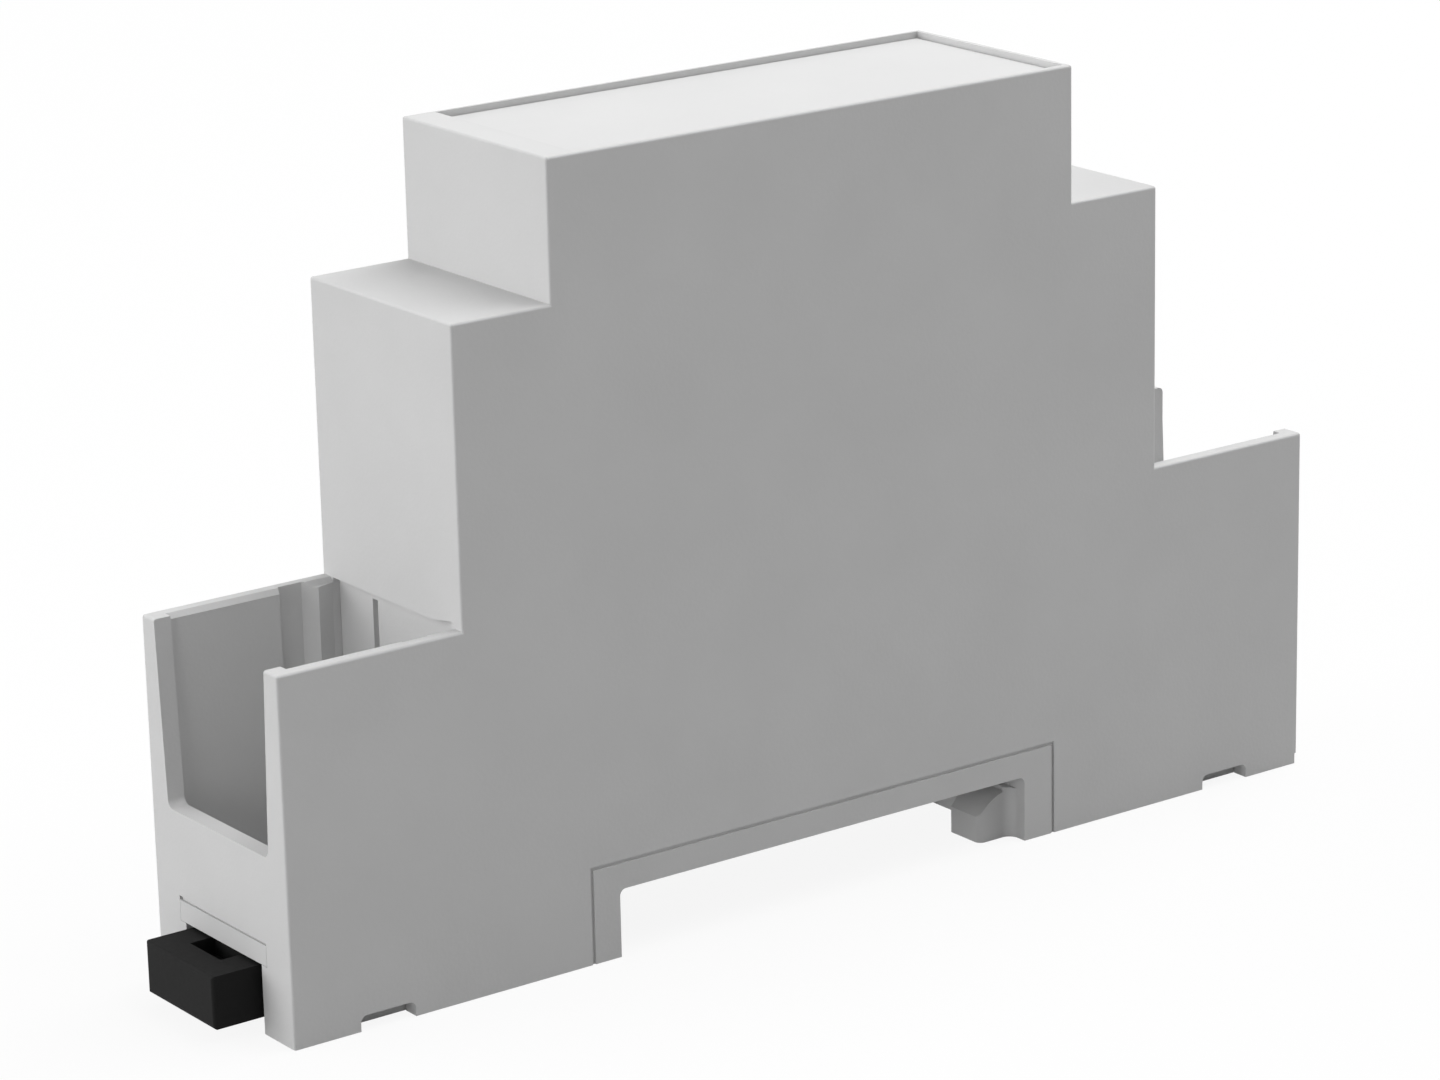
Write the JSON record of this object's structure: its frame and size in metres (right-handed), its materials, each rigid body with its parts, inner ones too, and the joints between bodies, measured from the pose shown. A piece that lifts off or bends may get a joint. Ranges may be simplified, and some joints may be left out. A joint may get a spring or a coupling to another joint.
{
  "type": "din rail enclosure",
  "caption": "Narrow stepped plastic enclosure for a 35 mm top-hat rail, with open terminal ends, a recessed front panel and a black sliding rail latch.",
  "frame": {"origin": "middle of the plane where the rail's flanges bear on the enclosure, centred between the two sides and between the two ends of the case", "axes": "+X along the enclosure, from the latch end to the fixed hook end; +Y along the rail; +Z from the rail to the front panel"},
  "size_m": [0.0938, 0.0176, 0.0575],
  "materials": {
    "case_grey": "light grey moulded ABS, fine matt texture",
    "base_grey": "light grey moulded ABS, fine matt texture",
    "panel_grey": "light grey moulded ABS, smooth",
    "latch_black": "black moulded acetal, satin"
  },
  "bodies": {
    "housing": {"case": "case_grey", "base": "base_grey", "front_panel": "panel_grey"},
    "latch": {"rail_latch": "latch_black"}
  },
  "joints": [
    {"name": "latch_slide", "type": "slide", "parent": "housing", "child": "latch", "axis": [-1, 0, 0], "range_m": [0, 0.0032]}
  ]
}
